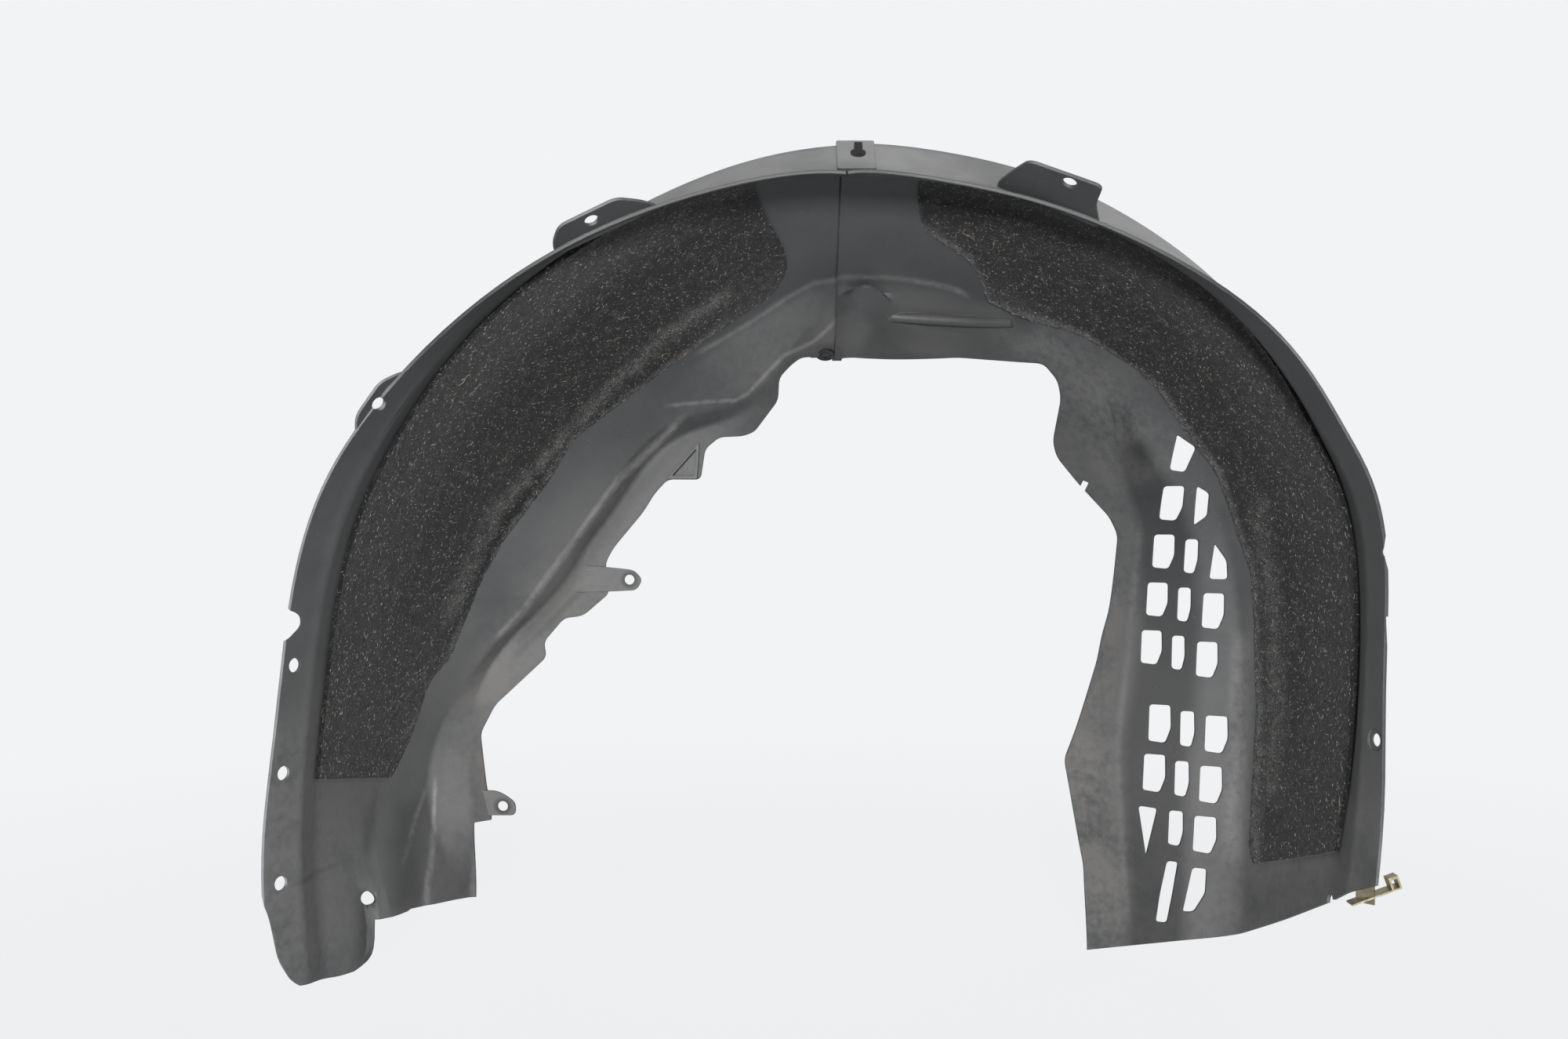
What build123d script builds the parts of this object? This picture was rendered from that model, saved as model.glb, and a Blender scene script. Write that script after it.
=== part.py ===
import os
from math import cos, radians, sin

from build123d import *

# Sizes in millimetres. While the part is drawn, the wheel axis is the Y axis:
# X points to the front of the car, Y points inboard, Z points up.
wall = 2.4
feltThickness = 3.0
glueLine = 0.6
seamX = 6.0
seamGap = 0.6
lapGap = 0.8
flangeHole = 5.0
earHole = 4.2
rivetShank = 3.0

# A station is an angle from the crown of the arch, then a drop below the wheel axis.
# The first one of each half is moved along the car, to its side of the seam.
rearStations = [
    (0, 0, seamX - seamGap), (-7, 0), (-17, 0), (-30, 0), (-45, 0), (-60, 0), (-75, 0), (-90, 0),
    (-90, 50), (-90, 100), (-90, 195),
]
frontStations = [
    (0, 0, seamX + seamGap), (12, 0), (22, 0), (29, 0), (36, 0), (45, 0), (60, 0), (75, 0), (90, 0),
    (90, 50), (90, 100), (90, 160), (90, 235),
]

# Each line of the moulding: its radius at every station, and its depth there.
rearLines = {
    "flange edge": (
        [377, 377, 375, 376, 379.5, 385.5, 383, 382, 388, 391, 387],
        [-6, -6, -6, -7, -8, -9, -10, -12, -12, -12, -10],
    ),
    "lip": (
        [378, 378, 377, 377, 375, 372, 368, 368, 372, 373, 370],
        [8, 8, 8, 9, 10, 12, 12, 12, 12, 12, 12],
    ),
    "crest": (
        [408, 403, 394, 384, 377, 371, 366, 366, 371, 372, 369],
        [45, 45, 45, 45, 45, 45, 45, 45, 45, 45, 45],
    ),
    "crown": (
        [403, 398, 387, 370, 358, 351, 349, 354, 359, 354.5, 351.5],
        [112, 112, 112, 112, 112, 112, 112, 110, 105, 95, 88],
    ),
    "felt ridge": (
        [354, 344, 329, 308, 299, 303, 309, 328, 345, 343, 341],
        [185, 185, 185, 185, 185, 185, 185, 182, 160, 128, 112],
    ),
    "bend": (
        [336, 324, 304, 284, 275, 276, 287, 317, 336, 334, 333],
        [222, 222, 220, 208, 206, 206, 206, 200, 183, 160, 150],
    ),
    "ridge": (
        [313, 281, 252, 256, 248, 246, 262, 304, 325, 322, 323],
        [240, 240, 241, 228, 225, 225, 225, 218, 205, 190, 188],
    ),
    "crease": (
        [291, 268, 243, 246, 238, 236, 252, 292, 297, 292, 293],
        [255, 253, 253, 251, 251, 251, 249, 238, 217, 204, 203],
    ),
    "inner edge": (
        [275, 257, 222, 205, 198, 198, 208, 246, 262, 262, 262],
        [284, 266, 261, 259, 259, 259, 258, 253, 246, 236, 236],
    ),
}
frontLines = {
    "flange edge": (
        [377, 379, 383, 387, 392, 399, 398.5, 385, 370, 369.5, 366, 362, 357],
        [-6, -6, -6.5, -7, -8, -10, -11, -12, -12, -12, -12, -12, -12],
    ),
    "lip": (
        [378, 381, 386, 389, 392, 394, 391, 380, 364, 361, 356, 351, 345],
        [8, 8, 8, 8, 8.5, 9, 10, 10, 10, 10, 10, 10, 10],
    ),
    "crest": (
        [408, 411, 413.5, 414, 413.5, 411, 400, 386, 372, 366, 357, 350, 344],
        [45, 45, 45, 45, 45, 45, 45, 45, 45, 45, 45, 45, 45],
    ),
    "crown": (
        [403, 404, 402, 400, 398, 394, 385, 373, 361, 355, 347, 341, 336],
        [112, 111, 109, 108, 107, 105, 105, 105, 105, 105, 105, 105, 105],
    ),
    "felt ridge": (
        [354, 360, 357, 352, 351, 352, 350, 341, 332, 330, 328, 325, 322],
        [185, 176, 173, 173, 170, 165, 165, 165, 165, 165, 165, 165, 165],
    ),
    "vent outer": (
        [336, 341, 343, 341, 340, 339, 341, 336, 326, 321, 316, 313, 310],
        [222, 216, 209, 200, 191, 182, 176, 176, 176, 176, 176, 176, 176],
    ),
    "fold": (
        [313, 317, 321, 329, 327, 322, 315, 298, 284, 277.5, 275.5, 277.5, 281],
        [240, 241, 237, 216, 209, 203, 198, 198, 198, 198, 198, 198, 198],
    ),
    "vent inner": (
        [291, 295, 304, 315, 313, 306, 289, 260, 242, 234, 235, 242, 252],
        [255, 256, 252, 233, 227, 224, 220, 220, 220, 220, 220, 220, 220],
    ),
    "inner edge": (
        [275, 276, 279, 282, 280, 272, 252, 230, 210, 192, 195, 204, 206],
        [284, 284, 279, 262, 257, 256, 255, 255, 255, 255, 255, 255, 255],
    ),
}
cornerReach = [5, 9, 22, 14, 8, 3, 3]

# Openings in the inner side, drawn as seen along the wheel axis.
rearOpening = [
    (30, 281), (-6, 281), (-22, 279), (-31, 272), (-41, 261), (-42, 243), (-62, 216), (-72, 212), (-92, 211),
    (-104, 201), (-108, 175), (-136, 175), (-147, 163), (-157, 147), (-182, 117), (-189, 104), (-186, 78),
    (-208, 59), (-224, 57), (-241, 37), (-239, 24), (-280, -15), (-290, -37), (-283, -82), (-279, -96),
    (-278, -240), (60, -240),
]
frontOpening = [
    (-20, 279), (112, 279), (178, 270), (190, 256), (194, 242), (191, 207), (195, 194), (213, 170),
    (236, 143), (242, 128), (236, 63), (228, 23), (209, -36), (200, -62), (206, -97), (216, -151),
    (218, -260), (-20, -260),
]


def rounded(points, reach, closed=False):
    corners = [Vector(*p) for p in points]
    count = len(corners)
    turning = range(count) if closed else range(1, count - 1)
    reaches = list(reach) if isinstance(reach, (list, tuple)) else [reach] * len(turning)
    bends = []
    for i, wanted in zip(turning, reaches):
        here = corners[i]
        back = corners[i - 1] - here
        ahead = corners[(i + 1) % count] - here
        length = min(wanted, 0.42 * back.length, 0.42 * ahead.length)
        bends.append((here + back.normalized() * length, here, here + ahead.normalized() * length))
    edges = []
    for before, after in zip(bends, bends[1:]):
        edges += [Bezier(*before), Line(before[2], after[0])]
    edges.append(Bezier(*bends[-1]))
    if closed:
        return edges + [Line(bends[-1][2], bends[0][0])]
    return [Line(corners[0], bends[0][0])] + edges + [Line(bends[-1][2], corners[-1])]


def beside(points, distance):
    # The same chain of points, set off to the side away from the wheel.
    chain = [Vector(*p) for p in points]
    sides = []
    for a, b in zip(chain, chain[1:]):
        run = (b - a).normalized()
        sides.append(Vector(run.Y, -run.X))
    moved = [chain[0] + sides[0] * distance]
    for i in range(1, len(chain) - 1):
        middle = (sides[i - 1] + sides[i]).normalized()
        moved.append(chain[i] + middle * (distance / max(0.5, middle.dot(sides[i]))))
    moved.append(chain[-1] + sides[-1] * distance)
    return [(p.X, p.Y) for p in moved]


def station_plane(angle, drop, along=0):
    out = Vector(sin(radians(angle)), 0, cos(radians(angle)))
    return Plane(origin=(along, 0, -drop), x_dir=out, z_dir=out.cross(Vector(0, 1, 0)))


def run(points, distance, first, last, part):
    # The stretch of a rounded chain from one corner to a share of the way along the last piece.
    edges = rounded(beside(points, distance), cornerReach)
    tail = edges[2 * last - 2]
    return edges[max(0, 2 * first - 1):2 * last - 2] + [Line(tail @ 0, tail @ part)]


def section(station, index, lines, first, last, near, far, part=1.0):
    points = [(radii[index], depths[index]) for radii, depths in lines.values()]
    low = run(points, near, first, last, part)
    high = run(points, far, first, last, part)
    ends = [Line(low[-1] @ 1, high[-1] @ 1), Line(high[0] @ 0, low[0] @ 0)]
    return station_plane(*station) * make_face(low + ends + high)


def skin(stations, lines, *spans):
    return loft([section(station, index, lines, *spans) for index, station in enumerate(stations)])


def seam_strip(near, far, low, high):
    # The profile at the seam, drawn out along the car.
    return extrude(section((0, 0, high), 0, rearLines, 2, 8, near, far), high - low)


def prism(outline, low, high, reach=6):
    face = make_face(rounded(outline, reach, closed=True))
    return extrude(Plane(origin=(0, low, 0), x_dir=(1, 0, 0), z_dir=(0, -1, 0)) * face, low - high)


def plate(origin, along, across, outline, thickness, reach=6):
    face = make_face(rounded(outline, reach, closed=True))
    across = Vector(*across)
    return extrude(Plane(origin=origin, x_dir=across, z_dir=across.cross(Vector(*along))) * face, thickness)


def prism_x(outline, low, high, reach=6):
    face = make_face(rounded(outline, reach, closed=True))
    return extrude(Plane(origin=(low, 0, 0), x_dir=(0, 1, 0), z_dir=(1, 0, 0)) * face, high - low)


def ring_point(angle, radius, depth):
    return Vector(radius * sin(radians(angle)), depth, radius * cos(radians(angle)))


def ring_direction(angle, out, inboard):
    return Vector(out * sin(radians(angle)), inboard, out * cos(radians(angle))).normalized()


def rod(centre, axis, radius, low, high):
    return extrude(Plane(origin=centre + axis * low, z_dir=axis) * Circle(radius), high - low)


def tab(angle, radius, depth, rise, outline):
    # A tab that leaves the lip outboard, rising by the given angle from the wheel axis.
    along = ring_direction(angle, sin(radians(rise)), -cos(radians(rise)))
    across = Vector(cos(radians(angle)), 0, -sin(radians(angle)))
    return plate(ring_point(angle, radius + wall, depth), along, across, outline, wall), along, across


def slot(width, height):
    return [
        (-0.42 * width, 0.5 * height), (0.5 * width, 0.5 * height), (0.5 * width, -0.1 * height),
        (0.24 * width, -0.5 * height), (-0.5 * width, -0.46 * height),
    ]


rear = skin(rearStations, rearLines, 0, 8, 0, wall)
front = skin(frontStations, frontLines, 0, 8, 0, wall)
tongue = skin(rearStations, rearLines, 2, 8, wall + lapGap, 2 * wall + lapGap)

# The rear half ends at the flap and at the scalloped inner opening.
rear -= [
    prism(rearOpening, 196, 330, 5),
    prism([(-291, -107), (-240, -107), (-240, -260), (-291, -260)], 199, 330, 2),
    prism_x([
        (330, -187), (200, -168), (112, -154.5), (104, -158), (104, -180), (98, -190), (91, -193),
        (62, -191), (40, -187), (3, -181), (-60, -174), (-60, -280), (330, -280),
    ], -460, -200),
    prism([
        (-440, -96), (-397, -100), (-388, -130), (-383, -160), (-376, -178), (-362, -192), (-362, -230),
        (-440, -230),
    ], -60, 13),
    prism([(-420, 85), (-379, 83), (-369, 76), (-369, 68), (-376, 58), (-420, 56)], -60, 4, 4),
]

# The front half ends at the inner opening and at a sloping lower edge.
frontCuts = [
    prism(frontOpening, 199, 330, 6),
    prism_x([(-90, -72.5), (330, -261.5), (330, -360), (-90, -360)], 150, 460, 0.5),
    rod(Vector(352, 40, -131), Vector(1, 0, 0), 5, -40, 40),
    prism([(373.5, 136), (370.5, 119), (375, 103), (390, 119)], -60, 6, 3),
    prism([(372.3, 75), (400, 75), (400, 40), (374, 40)], -60, 6, 1),
    prism([(212.5, 167), (217, 165), (219.5, 172), (215, 174)], 230, 270, 1),
]

# Vent slots: three slanting columns, in an upper and a lower group.
ventLean = 0.11
ventGroups = [
    (278, 154, 4, 39.4, 16, 28), (293, 111, 3, 39.4, 10, 28), (309, 67, 2, 39.4, 16, 29),
    (270, -26, 2, 40.5, 17, 31), (290, -29, 3, 40.5, 11, 29), (310.5, -32, 3, 40.5, 17, 30),
]
for x, z, rows, pitch, width, height in ventGroups:
    for row in range(rows):
        drop = pitch * row
        outline = [(x - ventLean * drop + u, z - drop + v) for u, v in slot(width, height)]
        frontCuts.append(prism(outline, 150, 260, 3))
for outline in (
    [(276, 209), (290, 198), (285, 179), (274, 181)],
    [(294, 168), (303, 162), (303, 144), (294, 136)],
    [(309, 122), (318, 108), (319, 93), (306, 93)],
    [(254, -94), (268, -95), (260, -135)],
    [(275, -137), (283, -137), (279, -165), (275, -188), (267, -188), (270, -165)],
    [(293, -140), (303, -140), (302, -160), (294, -176), (286, -177)],
):
    frontCuts.append(prism(outline, 150, 260, 3))
front -= frontCuts

# A joggled tongue of the front half lies behind the rear half along the seam.
tongue &= Pos(-4, 180, 330) * Box(20, 240, 220)
tongue -= prism(rearOpening, 196, 330, 5)
bridge = seam_strip(wall + lapGap, 2 * wall + lapGap, 4.8, 13)
bridge += seam_strip(wall - 0.3, 2 * wall, 6.9, 13)
bridge -= [prism(frontOpening, 199, 330, 6), Pos(9, 0, 400) * Box(20, 120, 100)]
bumpPath = Spline((30, 238.5, 311.5), (75, 236.5, 309.5), (118, 225.5, 305.5), (150, 206.5, 303))
bump = sweep(Plane(origin=bumpPath @ 0, z_dir=bumpPath % 0) * Circle(4.5), path=bumpPath)

# Fixing tabs and holes on the outer flange, ears on the inner side.
frontTab, along, across = tab(22.8, 387, -5, 22, [
    (-44, -8), (34, -8), (23, 14), (21, 35), (-31, 30), (-38, 12),
])
frontHoles = [rod(ring_point(22.8, 387, -5) + along * 27, across.cross(along), flangeHole, -12, 12)]
flangeAxis = Vector(0.97, 0.24, 0).normalized()
flangePoint = Vector(367.9, -4, -10)
frontHoles.append(rod(flangePoint, flangeAxis, 4.5, -14, 14))
frontHoles.append(rod(flangePoint, flangeAxis, 7.5, -14, 0.8))
rearTab, along, across = tab(-25, 377, -5, 26, [
    (-40, -8), (40, -8), (30, 6), (15, 20), (-28, 19), (-37, 6),
])
rearTabHole = ring_point(-25, 377, -5) + along * 12 - across * 6.5
rearHoles = [rod(rearTabHole, across.cross(along), flangeHole, -12, 12)]
sideTab, along, across = tab(-55, 373, 11, 33, [
    (-34, 0), (34, 0), (27, 17), (13, 28), (-15, 28), (-28, 17),
])
rearHoles.append(rod(ring_point(-55, 373, 11) + along * 20, across.cross(along), flangeHole, -12, 12))
legAxis = Vector(-0.8, 0.6, 0)
for x, z in ((-376, 41), (-384, -33), (-384, -109)):
    rearHoles.append(rod(Vector(x, 0, z), legAxis, flangeHole, -14, 14))
rearHoles.append(rod(Vector(-354, 90, -140), Vector(0.91, -0.42, 0).normalized(), flangeHole, -14, 14))
upperEar = prism([
    (-216, 103), (-180, 100), (-164, 98), (-157, 90), (-162, 81), (-182, 80), (-216, 79),
], 251, 251 + wall)
lowerEar = prism([
    (-296, -82), (-274, -83), (-266, -87), (-258.5, -93), (-258.5, -103), (-296, -103),
], 215.5, 215.5 + wall, 4)
rearHoles.append(rod(Vector(-168, 252, 90), Vector(0, 1, 0), earHole, -10, 10))
rearHoles.append(rod(Vector(-269, 216, -95.5), Vector(0, 1, 0), earHole, -10, 10))

# The rear half carries a bracket that reaches over the front half at the seam.
slope = ring_direction(0, 30, 37)
outward = Vector(0, -slope.Z, slope.Y)
bracketFoot = Vector(0, 8, 378)
bracket = plate(bracketFoot + outward * (wall + 1.1), slope, (1, 0, 0), [
    (0, 2), (27, 2), (27, 45), (0, 45),
], wall, 2)
shoe = plate(bracketFoot + outward * 1.2, slope, (1, 0, 0), [
    (0.4, 2.5), (4.9, 2.5), (4.9, 44.5), (0.4, 44.5),
], wall + 1.9, 2)
topRivetAt = bracketFoot + slope * 24 + Vector(15, 0, 0)
lowerRivetAt = Vector(-1.5, 268, 284.2)
inward = Vector(0, -0.463, -0.886).normalized()
for joint, axis in ((topRivetAt, outward), (lowerRivetAt, inward)):
    hole = rod(joint, axis, rivetShank + 0.15, -12, 20)
    rearHoles.append(hole)
    frontHoles.append(hole)
pocket = prism([(-137, 175.3), (-108.6, 207), (-110.6, 175.3)], 251, 266, 2)
rearHoles.append(prism([(-132, 178), (-111.5, 201), (-113.3, 178)], 230, 263.5, 1.5))
rear += [rearTab, sideTab, upperEar, lowerEar, bracket, shoe, pocket]
rear -= rearHoles
front += [frontTab, bridge, tongue, bump]
front -= frontHoles

# Push rivets: the upper one shows its tail, the lower one its head with a driven centre pin.
topRivet = rod(topRivetAt, outward, 7, -2.8, -0.6) + rod(topRivetAt, outward, rivetShank, -1, 7)
topRivet += rod(topRivetAt, outward, 5.4, 6.0, 7.2)
tailPlane = Plane(origin=topRivetAt + outward * 6.5, x_dir=(1, 0, 0), z_dir=outward)
topRivet += extrude(tailPlane * Rectangle(5.6, 5.6), 7)
lowerRivet = rod(lowerRivetAt, inward, 7.9, 0.8, 3.2) + rod(lowerRivetAt, inward, rivetShank, -9, 1)
lowerRivet += rod(lowerRivetAt, inward, 4.6, -8.8, -6.2)
lowerRivet -= [rod(lowerRivetAt, inward, 1.7, -10, 4), rear]
pinHead = rod(lowerRivetAt, inward, 4.2, 3.3, 4.7)
pinFace = Plane(origin=lowerRivetAt + inward * 3.9, x_dir=(1, 0, 0), z_dir=inward)
pinHead -= extrude(pinFace * (Rectangle(5.6, 1.2) + Rectangle(1.2, 5.6)), 2)
lowerPin = pinHead + rod(lowerRivetAt, inward, 1.5, -10.5, 3.5)

# Spring clip at the lower front corner: a leaf against the flange and a bar below it.
leafPlane = Plane(origin=(357, 10, -110), x_dir=(0.614, -0.789, 0), z_dir=(-0.789, -0.614, 0))
leaf = extrude(leafPlane * Pos(11, -2) * Rectangle(14, 22), 1.0, dir=(-0.789, -0.614, 0))
clip = leaf.moved(Location((-0.789 * 0.6, -0.614 * 0.6, 0)))
barPlane = Plane(origin=(352, 0, -123.5), x_dir=(0.94, 0, 0.34), z_dir=(-0.34, 0, 0.94))
clip += extrude(barPlane * Pos(18, 0) * Rectangle(36, 12), 1.2)
loop = extrude(barPlane * Pos(33, 0) * Rectangle(7, 9), 9)
clip += loop - extrude(barPlane * Pos(33, 0) * Rectangle(4.4, 12), 7)
clip -= front

rearFelt = skin(rearStations, rearLines, 2, 6, -glueLine, -glueLine - feltThickness, 0.1)
rearFelt &= prism([
    (-64, 430), (-60, 388), (-36, 354), (-34, 341), (-47, 325), (-82, 302), (-133, 264), (-208, 205),
    (-228, 172), (-263, 126), (-281, 94), (-298, 54), (-308, 29), (-323, 10), (-335, -30), (-347, -66),
    (-440, -66), (-440, 300), (-250, 430),
], 20, 300, 8)
rearFelt -= prism_x([(-90, -24), (300, -84), (300, -140), (-90, -140)], -460, -200, 0.5)
frontFelt = skin(frontStations, frontLines, 2, 5, -glueLine, -glueLine - feltThickness, 0.9)
frontFelt &= prism([
    (76, 440), (64, 392), (72, 368), (108, 348), (121, 334), (130, 316), (155, 305), (201, 287),
    (239, 262), (258, 243), (284, 205), (304, 178), (316, 148), (331, 99), (334, 60), (335, -7),
    (329, -118), (332, -140), (440, -140), (440, 300), (250, 440),
], 20, 300, 8)
frontFelt -= prism_x([(-90, -57), (300, -174), (300, -260), (-90, -260)], 150, 460, 0.5)

pieces = {
    "rear_liner": rear,
    "front_liner": front,
    "rear_felt": rearFelt,
    "front_felt": frontFelt,
    "top_rivet": topRivet,
    "lower_rivet": lowerRivet,
    "lower_rivet_pin": lowerPin,
    "corner_clip": clip,
}
# The finished part has its origin at the middle of the box round all its pieces.
boxes = [shape.bounding_box() for shape in pieces.values()]
lowest = [min(getattr(box.min, axis) for box in boxes) for axis in "XYZ"]
highest = [max(getattr(box.max, axis) for box in boxes) for axis in "XYZ"]
middle = (Vector(*lowest) + Vector(*highest)) / 2
print("middle", middle)
os.makedirs("parts", exist_ok=True)
for name, shape in pieces.items():
    placed = shape.moved(Location(-middle))
    print(name, placed.is_valid, len(placed.solids()), round(placed.volume), placed.bounding_box())
    export_step(placed, f"parts/{name}.step")
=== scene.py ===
from math import pi, radians

import bmesh
import bpy
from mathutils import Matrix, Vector


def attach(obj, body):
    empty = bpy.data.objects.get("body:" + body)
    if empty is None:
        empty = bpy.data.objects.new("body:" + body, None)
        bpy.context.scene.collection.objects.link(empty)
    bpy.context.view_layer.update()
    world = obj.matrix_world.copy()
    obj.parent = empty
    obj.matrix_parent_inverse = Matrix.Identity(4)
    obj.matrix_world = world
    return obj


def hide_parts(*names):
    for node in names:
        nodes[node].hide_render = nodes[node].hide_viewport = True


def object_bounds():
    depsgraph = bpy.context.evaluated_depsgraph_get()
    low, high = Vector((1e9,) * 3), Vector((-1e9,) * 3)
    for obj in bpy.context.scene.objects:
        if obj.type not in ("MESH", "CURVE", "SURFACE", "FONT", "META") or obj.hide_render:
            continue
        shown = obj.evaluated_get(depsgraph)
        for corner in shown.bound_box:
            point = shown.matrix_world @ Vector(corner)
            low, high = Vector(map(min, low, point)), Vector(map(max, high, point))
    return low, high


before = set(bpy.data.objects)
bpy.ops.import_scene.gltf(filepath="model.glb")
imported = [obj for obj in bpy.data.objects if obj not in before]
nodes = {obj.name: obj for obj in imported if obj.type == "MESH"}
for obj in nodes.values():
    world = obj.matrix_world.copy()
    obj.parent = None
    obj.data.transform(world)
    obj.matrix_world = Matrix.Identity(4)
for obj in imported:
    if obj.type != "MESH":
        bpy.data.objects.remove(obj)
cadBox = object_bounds()
scene = bpy.context.scene
scene.view_settings.view_transform = "Standard"
wheelCentre = Vector((0.0033, -0.1244, -0.0961))  # wheel axis, at the level of the outer lip
print("frame loaded:", len(nodes), "nodes")


class Wire:
    # an output socket of a shader tree; arithmetic on wires adds Math nodes
    def __init__(self, tree, socket=None):
        self.tree = tree
        self.socket = socket

    def node(self, kind, settings=None, inputs=None, out=0):
        made = self.tree.nodes.new(kind)
        for name, value in (settings or {}).items():
            setattr(made, name, value)
        for name, value in (inputs or {}).items():
            if isinstance(value, Wire):
                self.tree.links.new(value.socket, made.inputs[name])
            else:
                made.inputs[name].default_value = value
        return Wire(self.tree, made.outputs[out] if made.outputs else None)

    def math(self, operation, first, second):
        return self.node("ShaderNodeMath", {"operation": operation}, {0: first, 1: second})

    def __add__(self, other):
        return self.math("ADD", self, other)

    def __radd__(self, other):
        return self.math("ADD", other, self)

    def __sub__(self, other):
        return self.math("SUBTRACT", self, other)

    def __rsub__(self, other):
        return self.math("SUBTRACT", other, self)

    def __mul__(self, other):
        return self.math("MULTIPLY", self, other)

    def __rmul__(self, other):
        return self.math("MULTIPLY", other, self)

    def __pow__(self, other):
        return self.math("POWER", self, other)


def newMaterial(name):
    material = bpy.data.materials.new(name)
    material.use_nodes = True
    material.node_tree.nodes.clear()
    return material, Wire(material.node_tree)


def place(wire):
    return wire.node("ShaderNodeTexCoord", out="Object")


def apart(wire, vector):
    split = wire.node("ShaderNodeSeparateXYZ", inputs={0: vector}).socket.node
    return [Wire(wire.tree, split.outputs[i]) for i in range(3)]


def stretch(wire, vector, scale, turn=(0, 0, 0)):
    return wire.node("ShaderNodeMapping", inputs={"Vector": vector, "Scale": scale, "Rotation": turn})


def noise(wire, vector, scale, detail=3.0, rough=0.5):
    inputs = {"Vector": vector, "Scale": scale, "Detail": detail, "Roughness": rough}
    return wire.node("ShaderNodeTexNoise", inputs=inputs)


def cells(wire, vector, scale):
    return wire.node("ShaderNodeTexVoronoi", inputs={"Vector": vector, "Scale": scale})


def ease(wire, value, low, high):
    # 0 below low, 1 above high, smooth between them; low above high turns it round
    inputs = {"Value": value, "From Min": low, "From Max": high}
    return wire.node("ShaderNodeMapRange", {"interpolation_type": "SMOOTHSTEP"}, inputs)


def blendColour(wire, factor, first, second):
    return wire.node("ShaderNodeMix", {"data_type": "RGBA"}, {0: factor, 6: first, 7: second}, out=2)


def nearPath(wire, x, z, path, width):
    # 1 on a chain of points drawn as seen along the wheel axis, 0 beyond the width and at both ends
    nearest = None
    fade = None
    for px, pz in (path[0], path[-1]):
        span = ((x - px) * (x - px) + (z - pz) * (z - pz)) ** 0.5
        rise = ease(wire, span, 0.001, min(width * 5, 0.022))
        fade = rise if fade is None else fade * rise
    for (ax, az), (bx, bz) in zip(path, path[1:]):
        spanX, spanZ = bx - ax, bz - az
        length = spanX * spanX + spanZ * spanZ
        share = (x - ax) * (spanX / length) + (z - az) * (spanZ / length)
        share = wire.node("ShaderNodeClamp", inputs={0: share})
        offX = x - ax - share * spanX
        offZ = z - az - share * spanZ
        gap = offX * offX + offZ * offZ
        nearest = gap if nearest is None else wire.math("MINIMUM", nearest, gap)
    return ease(wire, nearest ** 0.5, width, 0.0) * fade


def traced(wire, x, z, lines):
    # the strongest of several drawn lines
    total = None
    for width, strength, path in lines.values():
        mask = nearPath(wire, x, z, path, width) * strength
        total = mask if total is None else wire.math("MAXIMUM", total, mask)
    return total


def grey(value, warm=0.0):
    return (value * (1 + warm), value, value * (1 - warm), 1.0)


def surface(wire, colour, roughness, normal=None, specular=0.5, sheen=0.0):
    inputs = {"Base Color": colour, "Roughness": roughness, "Specular IOR Level": specular}
    if normal is not None:
        inputs["Normal"] = normal
    if sheen:
        inputs["Sheen Weight"] = sheen
        inputs["Sheen Roughness"] = 0.5
    shader = wire.node("ShaderNodeBsdfPrincipled", inputs=inputs)
    wire.node("ShaderNodeOutputMaterial", inputs={"Surface": shader})


linerFinish = {
    "deep": 0.074,          # clean moulded plastic
    "worn": 0.104,          # rubbed and bleached
    "dust": 0.175,          # dry road dust on the inner side, also painted light on the box's right facet
    "hazeAndReflection": 0.400,          # painted reflection over a whitish haze on the outward face of the upper strip
    "markAndHighlight": 0.330,          # scratches, specks, rubbed edges and painted highlights along ridges and bends
    "cloudScale": 7.0,
    "grainScale": 900.0,
    "grainHeight": 0.00010,
    "edgeRadius": 0.0012,
    "paintedShade": 0.02,          # painted shade in the folds, grooves, vents and recesses, near the front edge and at the top; also the dark rims of the ear holes
    "rimShade": 0.62,       # dark rim of the ear holes
}
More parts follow.
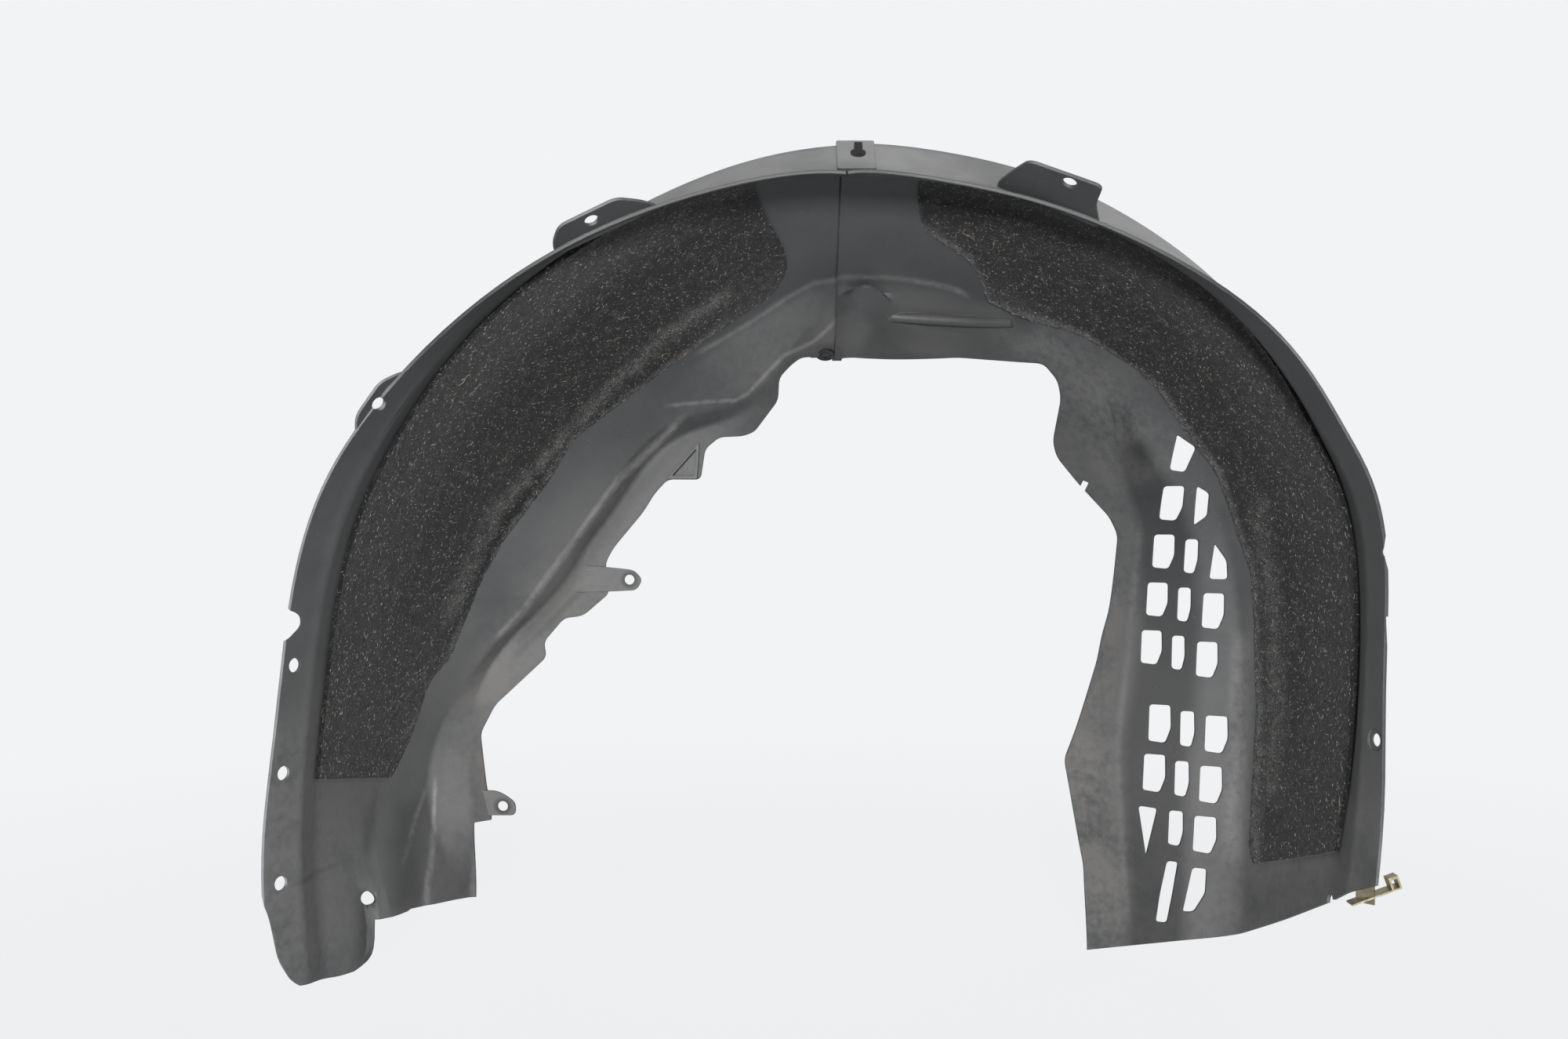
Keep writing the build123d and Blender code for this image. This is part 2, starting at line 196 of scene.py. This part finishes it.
# width, strength and path of each drawn line, in metres from the wheel axis: painted highlights along ridges, bends
# and box edges, painted light on the lower plate and the side swell, a pale line along the vent border and a worn
# strip beside the front felt
highlightAndWearLines = {
    "topBend": (0.0030, 0.20, [
        (-0.114, 0.274), (-0.066, 0.304), (-0.030, 0.327), (-0.012, 0.336), (0.013, 0.340), (0.045, 0.3395),
        (0.072, 0.337), (0.100, 0.331), (0.120, 0.322),
    ]),
    "frontCrease": (0.0030, 0.32, [(0.060, 0.338), (0.086, 0.3345), (0.104, 0.3295), (0.120, 0.322)]),
    "panelCorner": (0.0032, 0.45, [(0.126, 0.3262), (0.143, 0.3192), (0.160, 0.310)]),
    "plateauEdge": (0.0028, 0.30, [
        (0.010, 0.312), (-0.002, 0.300), (-0.013, 0.291), (-0.038, 0.278), (-0.056, 0.259), (-0.067, 0.247),
        (-0.078, 0.241), (-0.100, 0.2395), (-0.140, 0.234),
    ]),
    "rearRidge": (0.0042, 0.60, [
        (-0.116, 0.231), (-0.134, 0.214), (-0.152, 0.197), (-0.174, 0.175), (-0.193, 0.149), (-0.213, 0.121),
        (-0.233, 0.094), (-0.254, 0.065), (-0.282, 0.036),
    ]),
    "sideRidge": (0.0120, 0.10, [(0.199, 0.261), (0.230, 0.212), (0.264, 0.160)]),
    "boxEdge": (0.0028, 0.60, [
        (-0.3215, -0.064), (-0.3212, -0.075), (-0.3204, -0.101), (-0.3163, -0.130), (-0.3142, -0.170),
    ]),
    "boxFold": (0.0024, 0.26, [
        (-0.3250, -0.070), (-0.3275, -0.0765), (-0.3310, -0.0985), (-0.3303, -0.121), (-0.3300, -0.130),
    ]),
    "lowerPlate": (0.0700, 0.22, [(-0.400, -0.030), (-0.400, -0.130), (-0.395, -0.230)]),
    "sideSwell": (0.0380, 0.19, [(0.160, 0.305), (0.219, 0.245), (0.255, 0.195)]),
    "feltBorder": (0.0100, 0.34, [
        (0.3279, 0.060), (0.3261, -0.008), (0.3243, -0.045), (0.3200, -0.083), (0.3191, -0.129), (0.3200, -0.140),
    ]),
    "ventBorder": (0.0040, 0.12, [
        (0.258, 0.145), (0.2535, 0.091), (0.246, 0.019), (0.2383, -0.052), (0.2429, -0.130), (0.2477, -0.200),
    ]),
}
# painted shade: dark bands drawn along grooves, folds, recesses and shaded facets
paintedShadeLines = {
    "feltGroove": (0.0090, 0.50, [(0.063, 0.374), (0.089, 0.362), (0.112, 0.347), (0.1225, 0.335), (0.123, 0.322)]),
    "sideGroove": (0.0090, 0.42, [(0.188, 0.258), (0.220, 0.209), (0.256, 0.155)]),
    "recessCorner": (0.0280, 0.45, [(0.126, 0.320), (0.150, 0.300), (0.176, 0.282)]),
    "rearBand": (0.0140, 0.40, [
        (-0.107, 0.222), (-0.143, 0.187), (-0.164, 0.165), (-0.184, 0.140), (-0.223, 0.085), (-0.270, 0.028),
    ]),
    "lowerFold": (0.0060, 0.35, [(-0.200, 0.090), (-0.236, 0.054), (-0.274, 0.016)]),
    "boxFront": (0.0130, 0.45, [
        (-0.3350, -0.070), (-0.3346, -0.083), (-0.3323, -0.105), (-0.3282, -0.124), (-0.3237, -0.149),
        (-0.3220, -0.165),
    ]),
    "flapFold": (0.0110, 0.75, [(-0.3470, -0.128), (-0.3450, -0.150), (-0.3445, -0.170), (-0.3470, -0.205)]),
    "plateCrease": (0.0045, 0.38, [(-0.3545, -0.066), (-0.3536, -0.079), (-0.3500, -0.108), (-0.3488, -0.122)]),
    "plateStep": (0.0036, 0.38, [(-0.396, -0.115), (-0.3868, -0.1134), (-0.369, -0.111), (-0.355, -0.109)]),
    "recessFloor": (0.0450, 0.58, [(0.020, 0.300), (0.090, 0.295), (0.170, 0.288)]),
}

# place and radius of the holes that have a dark rim
rimmedHoles = {"upperEar": (-0.1680, 0.0900, 0.0042), "lowerEar": (-0.2690, -0.0955, 0.0042)}


def rimmed(wire, x, z, holes):
    # 1 on the rim of any of the holes
    total = None
    for atX, atZ, radius in holes.values():
        gap = ((x - atX) * (x - atX) + (z - atZ) * (z - atZ)) ** 0.5
        mask = ease(wire, gap, radius * 2.1, radius * 1.2)
        total = mask if total is None else wire.math("MAXIMUM", total, mask)
    return total


def linerPlastic(name, finish):
    material, wire = newMaterial(name)
    at = place(wire)
    x, y, z = apart(wire, at)
    out = wire.node("ShaderNodeNewGeometry", out="Normal")
    alongX, alongY, alongZ = apart(wire, out)
    fromX = x - wheelCentre.x
    depth = y - wheelCentre.y
    height = z - wheelCentre.z
    reach = (fromX * fromX + height * height) ** 0.5
    facing = (alongX * fromX + alongZ * height) * (1 / 0.38)
    cloud = noise(wire, at, finish["cloudScale"], 4.0, 0.5)
    smear = noise(wire, stretch(wire, at, (14, 14, 22), (0.4, 0.9, 0.2)), 1.0, 5.0, 0.55)
    fine = noise(wire, at, 160.0, 4.0, 0.6)
    low = ease(wire, height, 0.24, -0.02)
    inner = ease(wire, depth, 0.205, 0.240) * (0.35 + low * 0.65)
    worn = ease(wire, cloud * 0.6 + smear * 0.4, 0.36 - low * 0.14, 0.66 - low * 0.10) * (0.45 + low * 0.55)
    colour = blendColour(wire, worn, grey(finish["deep"], -0.035), grey(finish["worn"], -0.02))
    # painted light: the box's right facet is made paler where it faces the lamp
    face = ease(wire, fromX - height * 0.085, -0.314, -0.306) * ease(wire, height, -0.03, -0.06)
    share = 0.10 + low * 0.08 + inner * 0.75 + face * 0.35
    dustAndFacetLight = ease(wire, smear * 0.5 + fine * 0.3 + cloud * 0.2, 0.34, 0.60) * share
    colour = blendColour(wire, dustAndFacetLight, colour, grey(finish["dust"], 0.03))
    inside = ease(wire, facing + alongY, 0.15, -0.15)
    vents = ease(wire, depth, 0.186, 0.196) * ease(wire, depth, 0.222, 0.212) * ease(wire, fromX, 0.22, 0.25)
    # painted shade: darker at the top, near the front edge and in the vents
    shade = ease(wire, height, 0.08, 0.26) * 0.30 + ease(wire, depth, 0.014, 0.002) * 0.30 + vents * 0.62
    shade = wire.math("MAXIMUM", shade, traced(wire, fromX, height, paintedShadeLines) * inside)
    shade = wire.math("MAXIMUM", shade, rimmed(wire, fromX, height, rimmedHoles) * inside * finish["rimShade"])
    colour = blendColour(wire, shade, colour, grey(finish["paintedShade"], -0.03))
    # painted reflection of the bright room over a whitish haze, on the outward face of the upper strip
    strip = ease(wire, facing, 0.25, 0.6) * ease(wire, reach, 0.374, 0.379) * ease(wire, depth, 0.0626, 0.0496)
    bloom = strip * (0.55 + 0.45 * ease(wire, cloud * 0.5 + smear * 0.5, 0.35, 0.60))
    colour = blendColour(wire, bloom * 0.9, colour, grey(finish["hazeAndReflection"], 0.0))
    scratchA = noise(wire, stretch(wire, at, (40, 1100, 900), (0.5, 0.2, 0.7)), 1.0, 2.0)
    scratchB = noise(wire, stretch(wire, at, (900, 60, 1000), (0.1, 0.6, -0.5)), 1.0, 2.0)
    patch = ease(wire, noise(wire, at, 11.0, 2.0), 0.50, 0.66)
    scratch = (ease(wire, scratchA, 0.69, 0.74) + ease(wire, scratchB, 0.70, 0.75)) * patch
    speck = ease(wire, cells(wire, at, 240.0), 0.10, 0.05) * ease(wire, noise(wire, at, 40.0, 2.0), 0.55, 0.66)
    bare = wire.node("ShaderNodeBevel", {"samples": 4}, {"Radius": finish["edgeRadius"]})
    turned = wire.node("ShaderNodeVectorMath", {"operation": "DOT_PRODUCT"}, {0: bare, 1: out}, out="Value")
    edge = ease(wire, 1 - turned, 0.04, 0.22) * ease(wire, fine, 0.35, 0.6)
    # painted highlights along ridges and bends, broken up like rubbed wear, with the worn strip beside the front felt
    paintedHighlightAndWear = traced(wire, fromX, height, highlightAndWearLines) * inside * ease(wire, fine * 0.6 + smear * 0.4, 0.25, 0.6)
    marksAndHighlights = scratch * 0.35 + speck * 0.6 + edge * 0.25 + paintedHighlightAndWear
    colour = blendColour(wire, marksAndHighlights, colour, grey(finish["markAndHighlight"], 0.01))
    roughness = 0.46 + worn * 0.08 + dustAndFacetLight * 0.20 + strip * 0.12
    grain = noise(wire, at, finish["grainScale"], 2.0)
    inputs = {"Strength": 0.3, "Distance": finish["grainHeight"], "Height": grain + smear * 2, "Normal": bare}
    bump = wire.node("ShaderNodeBump", inputs=inputs)
    surface(wire, colour, roughness, bump, 0.4)
    return material


feltFinish = {"deep": 0.012, "pale": 0.066, "worn": 0.20, "tuft": 900.0, "clump": 130.0}
pressedLines = {
    "rearRidge": (0.0085, 0.50, [
        (-0.070, 0.330), (-0.084, 0.322), (-0.132, 0.288), (-0.175, 0.247), (-0.219, 0.201), (-0.267, 0.147),
        (-0.301, 0.072), (-0.308, 0.050),
    ]),
    "frontRidge": (0.0085, 0.42, [
        (0.326, 0.170), (0.3312, 0.1425), (0.335, 0.118), (0.3409, 0.082), (0.3432, 0.040), (0.3432, -0.003),
        (0.3395, -0.050), (0.336, -0.085),
    ]),
    "rearEdge": (0.0045, 0.50, [
        (-0.070, 0.312), (-0.133, 0.264), (-0.208, 0.205), (-0.263, 0.126), (-0.298, 0.054), (-0.340, -0.040),
    ]),
    "frontEdge": (0.0048, 0.75, [
        (0.060, 0.374), (0.072, 0.368), (0.108, 0.348), (0.130, 0.316), (0.201, 0.287), (0.258, 0.243), (0.304, 0.178),
        (0.331, 0.099), (0.335, -0.007), (0.329, -0.118), (0.328, -0.140),
    ]),
}


def needleFelt(name, finish):
    material, wire = newMaterial(name)
    at = place(wire)
    x, y, z = apart(wire, at)
    tuft = noise(wire, at, finish["tuft"], 3.0, 0.7)
    clump = noise(wire, at, finish["clump"], 3.0, 0.6)
    cloud = noise(wire, at, 14.0, 3.0, 0.5)
    pale = ease(wire, tuft * 0.6 + clump * 0.4, 0.50, 0.66) * (0.35 + cloud * 0.9)
    colour = blendColour(wire, pale, grey(finish["deep"], 0.01), grey(finish["pale"], 0.03))
    pressed = traced(wire, x - wheelCentre.x, z - wheelCentre.z, pressedLines)
    pressed = pressed * ease(wire, tuft * 0.75 + clump * 0.25, 0.40, 0.62)
    colour = blendColour(wire, pressed, colour, grey(finish["worn"], 0.02))
    inputs = {"Strength": 0.8, "Distance": 0.0008, "Height": tuft + clump}
    bump = wire.node("ShaderNodeBump", inputs=inputs)
    surface(wire, colour, 0.95, bump, 0.08, 0.2)
    return material


def fibreFinish(name, dark, light):
    material, wire = newMaterial(name)
    shade = wire.node("ShaderNodeAttribute", {"attribute_name": "shade"}, out="Fac")
    colour = blendColour(wire, shade ** 3.0, dark, light)
    surface(wire, colour, 0.7, None, 0.2)
    return material


def rivetPlastic(name):
    material, wire = newMaterial(name)
    at = place(wire)
    rub = noise(wire, at, 180.0, 4.0, 0.6)
    colour = blendColour(wire, ease(wire, rub, 0.45, 0.7) * 0.6, grey(0.016), grey(0.07, 0.02))
    bump = wire.node("ShaderNodeBump", inputs={"Strength": 0.3, "Distance": 0.0001, "Height": rub})
    surface(wire, colour, 0.42 + rub * 0.15, bump, 0.45)
    return material


def platedSteel(name):
    material, wire = newMaterial(name)
    at = place(wire)
    bloom = noise(wire, at, 260.0, 4.0, 0.6)
    colour = blendColour(wire, ease(wire, bloom, 0.35, 0.65), (0.50, 0.43, 0.26, 1), (0.62, 0.58, 0.46, 1))
    brush = noise(wire, stretch(wire, at, (300, 4000, 4000)), 1.0, 2.0)
    bump = wire.node("ShaderNodeBump", inputs={"Strength": 0.2, "Distance": 0.0001, "Height": brush})
    inputs = {"Base Color": colour, "Roughness": 0.3 + bloom * 0.25, "Metallic": 1.0, "Normal": bump}
    shader = wire.node("ShaderNodeBsdfPrincipled", inputs=inputs)
    wire.node("ShaderNodeOutputMaterial", inputs={"Surface": shader})
    return material


def link(name, mesh):
    made = bpy.data.objects.new(name, mesh)
    scene.collection.objects.link(made)
    return made


shellShading = {"mergeGap": 2e-6, "panelWeight": 60}


def mergedCopy(node, name, sharpAngle):
    # a CAD node's mesh with its doubles merged, smooth apart from its sharp edges
    mesh = nodes[node].data.copy()
    mesh.name = name
    work = bmesh.new()
    work.from_mesh(mesh)
    bmesh.ops.remove_doubles(work, verts=work.verts, dist=shellShading["mergeGap"])
    work.to_mesh(mesh)
    work.free()
    for corner in [a.name for a in mesh.attributes if a.name == "custom_normal"]:
        mesh.attributes.remove(mesh.attributes[corner])
    mesh.shade_smooth()
    mesh.set_sharp_from_angle(angle=radians(sharpAngle))
    made = link(name, mesh)
    weighted = made.modifiers.new("flatPanels", "WEIGHTED_NORMAL")
    weighted.mode = "FACE_AREA"
    weighted.weight = shellShading["panelWeight"]
    weighted.keep_sharp = True
    return made


def softened(piece, nearest, farthest):
    # lets the shading run on over the edges inside a box, given from the wheel axis
    mesh = piece.data
    sharp = mesh.attributes["sharp_edge"].data
    for edge in mesh.edges:
        middle = (mesh.vertices[edge.vertices[0]].co + mesh.vertices[edge.vertices[1]].co) / 2 - wheelCentre
        if all(low < value < high for low, value, high in zip(nearest, middle, farthest)):
            sharp[edge.index].value = False


def dress(piece, material):
    piece.data.materials.clear()
    piece.data.materials.append(material)
    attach(piece, "root")


def trimmed(piece, outline, nearest, farthest):
    # takes away what lies inside an outline drawn along the wheel axis, between two depths
    work = bmesh.new()
    ends = []
    for depth in (nearest, farthest):
        ends.append([work.verts.new(wheelCentre + Vector((x, depth, z))) for x, z in outline])
    count = len(outline)
    work.faces.new(ends[0])
    work.faces.new(ends[1])
    for i in range(count):
        j = (i + 1) % count
        work.faces.new((ends[0][i], ends[0][j], ends[1][j], ends[1][i]))
    bmesh.ops.recalc_face_normals(work, faces=work.faces)
    mesh = bpy.data.meshes.new("trim")
    work.to_mesh(mesh)
    work.free()
    cutter = link("trim", mesh)
    cut = piece.modifiers.new("trim", "BOOLEAN")
    cut.operation = "DIFFERENCE"
    cut.object = cutter
    graph = bpy.context.evaluated_depsgraph_get()
    left = bpy.data.meshes.new_from_object(piece.evaluated_get(graph))
    piece.modifiers.remove(cut)
    left.name = piece.data.name
    piece.data = left
    bpy.data.objects.remove(cutter)


linerSkin = linerPlastic("linerPlastic", linerFinish)
shellSharp = 36  # degrees
flapCut = {
    "outline": [
        (-0.3405, -0.1555), (-0.3404, -0.1690), (-0.3414, -0.1765), (-0.3432, -0.1820), (-0.3462, -0.1865),
        (-0.3500, -0.1898), (-0.3545, -0.1925), (-0.3545, -0.2150), (-0.3000, -0.2150), (-0.3000, -0.1555),
    ],
    "depths": (0.060, 0.113),
    "softBox": ((-0.362, 0.020, -0.200), (-0.341, 0.112, -0.090)),
}
for half in ("rear", "front"):
    shell = mergedCopy(f"{half}_liner", f"{half}Shell", shellSharp)
    if half == "rear":
        trimmed(shell, flapCut["outline"], *flapCut["depths"])
        softened(shell, *flapCut["softBox"])
    dress(shell, linerSkin)
    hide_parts(f"{half}_liner")
print("mouldings dressed")

rivetSkin = rivetPlastic("rivetPlastic")
for name in ("top_rivet", "lower_rivet", "lower_rivet_pin"):
    nodes[name].data.materials.clear()
    nodes[name].data.materials.append(rivetSkin)
nodes["corner_clip"].data.materials.clear()
nodes["corner_clip"].data.materials.append(platedSteel("platedSteel"))
print("fasteners dressed")


def strand(name, bends, thickness):
    # a closed spindle of unit length along X that follows a bent line
    work = bmesh.new()
    rings = []
    for x, side, lift in bends[1:-1]:
        ring = []
        for up, over in ((1.0, 0.0), (-0.5, 0.87), (-0.5, -0.87)):
            ring.append(work.verts.new((x, side + over * thickness, lift + up * thickness)))
        rings.append(ring)
    first = work.verts.new(bends[0])
    last = work.verts.new(bends[-1])
    for i in range(3):
        j = (i + 1) % 3
        work.faces.new((first, rings[0][i], rings[0][j]))
        work.faces.new((last, rings[-1][j], rings[-1][i]))
        for near, far in zip(rings, rings[1:]):
            work.faces.new((near[i], far[i], far[j], near[j]))
    bmesh.ops.recalc_face_normals(work, faces=work.faces)
    mesh = bpy.data.meshes.new(name)
    work.to_mesh(mesh)
    work.free()
    return link(name, mesh)


def fibreTree(name):
    # scatters one strand over a surface, lying nearly flat, with a random shade for each
    tree = bpy.data.node_groups.new(name, "GeometryNodeTree")
    face = tree.interface
    face.new_socket("Geometry", in_out="INPUT", socket_type="NodeSocketGeometry")
    face.new_socket("Strand", in_out="INPUT", socket_type="NodeSocketObject")
    for label in ("Density", "Shortest", "Longest", "Tilt"):
        face.new_socket(label, in_out="INPUT", socket_type="NodeSocketFloat")
    face.new_socket("Seed", in_out="INPUT", socket_type="NodeSocketInt")
    face.new_socket("Finish", in_out="INPUT", socket_type="NodeSocketMaterial")
    face.new_socket("Geometry", in_out="OUTPUT", socket_type="NodeSocketGeometry")

    def add(kind, settings=None, inputs=None):
        made = tree.nodes.new(kind)
        for key, value in (settings or {}).items():
            setattr(made, key, value)
        for key, value in (inputs or {}).items():
            if isinstance(value, bpy.types.NodeSocket):
                tree.links.new(value, made.inputs[key])
            else:
                made.inputs[key].default_value = value
        return made

    given = add("NodeGroupInput").outputs
    scatter = add("GeometryNodeDistributePointsOnFaces", {"distribute_method": "RANDOM"}, {
        "Mesh": given["Geometry"], "Density": given["Density"], "Seed": given["Seed"],
    })
    less = add("ShaderNodeMath", {"operation": "MULTIPLY"}, {0: given["Tilt"], 1: -1.0})
    low = add("ShaderNodeCombineXYZ", None, {0: less.outputs[0], 1: less.outputs[0], 2: -pi})
    high = add("ShaderNodeCombineXYZ", None, {0: given["Tilt"], 1: given["Tilt"], 2: pi})
    turn = add("FunctionNodeRandomValue", {"data_type": "FLOAT_VECTOR"}, {
        0: low.outputs[0], 1: high.outputs[0], "Seed": given["Seed"],
    })
    euler = add("FunctionNodeEulerToRotation", None, {0: turn.outputs[0]})
    spun = add("FunctionNodeRotateRotation", {"rotation_space": "LOCAL"}, {
        0: scatter.outputs["Rotation"], 1: euler.outputs[0],
    })
    size = add("FunctionNodeRandomValue", {"data_type": "FLOAT"}, {
        2: given["Shortest"], 3: given["Longest"], "Seed": given["Seed"],
    })
    shade = add("FunctionNodeRandomValue", {"data_type": "FLOAT"}, {2: 0.0, 3: 1.0, "Seed": 7})
    named = add("GeometryNodeStoreNamedAttribute", {"data_type": "FLOAT", "domain": "POINT"}, {
        "Geometry": scatter.outputs["Points"], "Name": "shade", "Value": shade.outputs[1],
    })
    source = add("GeometryNodeObjectInfo", {"transform_space": "ORIGINAL"}, {"Object": given["Strand"]})
    copies = add("GeometryNodeInstanceOnPoints", None, {
        "Points": named.outputs[0], "Instance": source.outputs["Geometry"],
        "Rotation": spun.outputs[0], "Scale": size.outputs[1],
    })
    real = add("GeometryNodeRealizeInstances", None, {"Geometry": copies.outputs[0]})
    done = add("GeometryNodeSetMaterial", None, {"Geometry": real.outputs[0], "Material": given["Finish"]})
    add("NodeGroupOutput", None, {0: done.outputs[0]})
    return tree


def scattered(name, base, tree, values):
    # runs the tree on a surface and keeps the result as a plain mesh
    carrier = link(name + "Carrier", base)
    modifier = carrier.modifiers.new("fibres", "NODES")
    modifier.node_group = tree
    keys = {item.name: item.identifier for item in tree.interface.items_tree if item.in_out == "INPUT"}
    for label, value in values.items():
        modifier[keys[label]] = value
    graph = bpy.context.evaluated_depsgraph_get()
    mesh = bpy.data.meshes.new_from_object(carrier.evaluated_get(graph))
    mesh.name = name
    bpy.data.objects.remove(carrier)
    return link(name, mesh)


feltSharp = 40  # degrees
feltShape = {
    "rear": {"flat": (0.30, 0.62), "area": 0.0985, "seed": 3},
    "front": {"flat": (0.26, 0.66), "area": 0.0888, "seed": 11},
}
fibreShape = {
    "short": {"Density": 190000.0, "Shortest": 0.0012, "Longest": 0.0034, "Tilt": 0.30},
    "long": {"Density": 800.0, "Shortest": 0.007, "Longest": 0.017, "Tilt": 0.16},
}
shortStrand = strand("shortStrand", [(-0.5, 0, 0.02), (0.05, 0.07, 0.10), (0.5, 0, 0.03)], 0.055)
longStrand = strand("longStrand", [
    (-0.5, 0.05, 0.02), (-0.3, -0.12, 0.05), (-0.05, -0.10, 0.06), (0.15, 0.08, 0.05),
    (0.32, 0.10, 0.05), (0.42, -0.04, 0.04), (0.36, -0.16, 0.02),
], 0.009)
feltSkin = needleFelt("needleFelt", feltFinish)
shortSkin = fibreFinish("shortFibre", (0.011, 0.011, 0.011, 1), (0.52, 0.51, 0.49, 1))
longSkin = fibreFinish("longFibre", (0.10, 0.09, 0.08, 1), (0.42, 0.35, 0.27, 1))
scatterFibres = fibreTree("scatterFibres")


def wheelSide(mesh):
    # only the faces of a pad that look at the wheel
    kept = mesh.copy()
    work = bmesh.new()
    work.from_mesh(kept)
    hidden = []
    for face in work.faces:
        middle = face.calc_center_median() - wheelCentre
        inward = Vector((-middle.x, 0, -middle.z)).normalized() + Vector((0, -1, 0))
        if face.normal.dot(inward) < 0.15:
            hidden.append(face)
    bmesh.ops.delete(work, geom=hidden, context="FACES")
    work.to_mesh(kept)
    work.free()
    return kept


for half, shape in feltShape.items():
    pad = mergedCopy(f"{half}_felt", f"{half}FeltPad", feltSharp)
    dress(pad, feltSkin)
    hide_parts(f"{half}_felt")
    wheelFace = wheelSide(pad.data)
    for label, strandObject, skin in (("short", shortStrand, shortSkin), ("long", longStrand, longSkin)):
        values = {"Strand": strandObject, "Seed": shape["seed"], "Finish": skin} | fibreShape[label]
        pile = scattered(f"{half}{label.capitalize()}Fibres", wheelFace.copy(), scatterFibres, values)
        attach(pile, "root")
for spare in (shortStrand, longStrand):
    bpy.data.objects.remove(spare)

stageSet = {
    "floorColour": (0.86, 0.87, 0.88, 1), "floorGlow": 0.94, "floorSize": 14.0,
    "worldColour": (0.885, 0.895, 0.905, 1), "worldFill": 0.11, "glossFill": 0.35,
    "lamps": {
        "key": {"watts": 72.0, "size": 0.28, "place": (-0.03, -2.60, 0.155), "aim": (-0.01, 0.0, 0.02)},
        "backLeft": {"watts": 9.0, "size": 1.2, "place": (-1.7, 1.5, 1.3), "aim": (0.0, 0.0, 0.0)},
        "backRight": {"watts": 9.0, "size": 1.2, "place": (1.7, 1.5, 1.3), "aim": (0.0, 0.0, 0.0)},
    },
}


def studio(values):
    floorMesh = bpy.data.meshes.new("floor")
    half = values["floorSize"] / 2
    level = cadBox[0].z
    corners = [(-half, -half, level), (half, -half, level), (half, half, level), (-half, half, level)]
    floorMesh.from_pydata(corners, [], [(0, 1, 2, 3)])
    floor = link("floor", floorMesh)
    material, wire = newMaterial("paleFloor")
    x, y, z = apart(wire, place(wire))
    far = ease(wire, (x * x + y * y) ** 0.5, 0.5, 1.6)
    ray = wire.node("ShaderNodeLightPath").socket.node.outputs
    glowing = values["floorGlow"] + far * (1 - values["floorGlow"])
    seen = Wire(wire.tree, ray["Is Camera Ray"]) * glowing
    matt = wire.node("ShaderNodeBsdfDiffuse", inputs={"Color": values["floorColour"]})
    glow = wire.node("ShaderNodeEmission", inputs={"Color": values["worldColour"], "Strength": 1.0})
    both = wire.node("ShaderNodeMixShader", inputs={0: seen, 1: matt, 2: glow})
    wire.node("ShaderNodeOutputMaterial", inputs={"Surface": both})
    floorMesh.materials.append(material)
    world = bpy.data.worlds.new("paleRoom")
    world.use_nodes = True
    world.node_tree.nodes.clear()
    sky = Wire(world.node_tree)
    ray = sky.node("ShaderNodeLightPath").socket.node.outputs
    seen = Wire(world.node_tree, ray["Is Camera Ray"]) + Wire(world.node_tree, ray["Is Transmission Ray"])
    seen = seen + Wire(world.node_tree, ray["Is Glossy Ray"]) * values["glossFill"]
    strength = values["worldFill"] + seen * (1 - values["worldFill"])
    back = sky.node("ShaderNodeBackground", inputs={"Color": values["worldColour"], "Strength": strength})
    sky.node("ShaderNodeOutputWorld", inputs={"Surface": back})
    scene.world = world
    for name, lamp in values["lamps"].items():
        light = bpy.data.lights.new(name, "AREA")
        light.size = lamp["size"]
        light.energy = lamp["watts"]
        made = bpy.data.objects.new(name, light)
        made.location = lamp["place"]
        made.rotation_euler = (Vector(lamp["aim"]) - made.location).to_track_quat("-Z", "Y").to_euler()
        scene.collection.objects.link(made)


studio(stageSet)
eyeSet = {"lens": 36.0, "sensor": 36.0, "fromWheel": (-0.037, -1.078, 0.141), "turn": (pi / 2, 0, 0)}
eye = bpy.data.cameras.new("eye")
eye.lens = eyeSet["lens"]
eye.sensor_width = eyeSet["sensor"]
eye.sensor_fit = "HORIZONTAL"
eyeObject = bpy.data.objects.new("eye", eye)
eyeObject.location = wheelCentre + Vector(eyeSet["fromWheel"])
eyeObject.rotation_euler = eyeSet["turn"]
scene.collection.objects.link(eyeObject)
scene.camera = eyeObject
print("stage set")
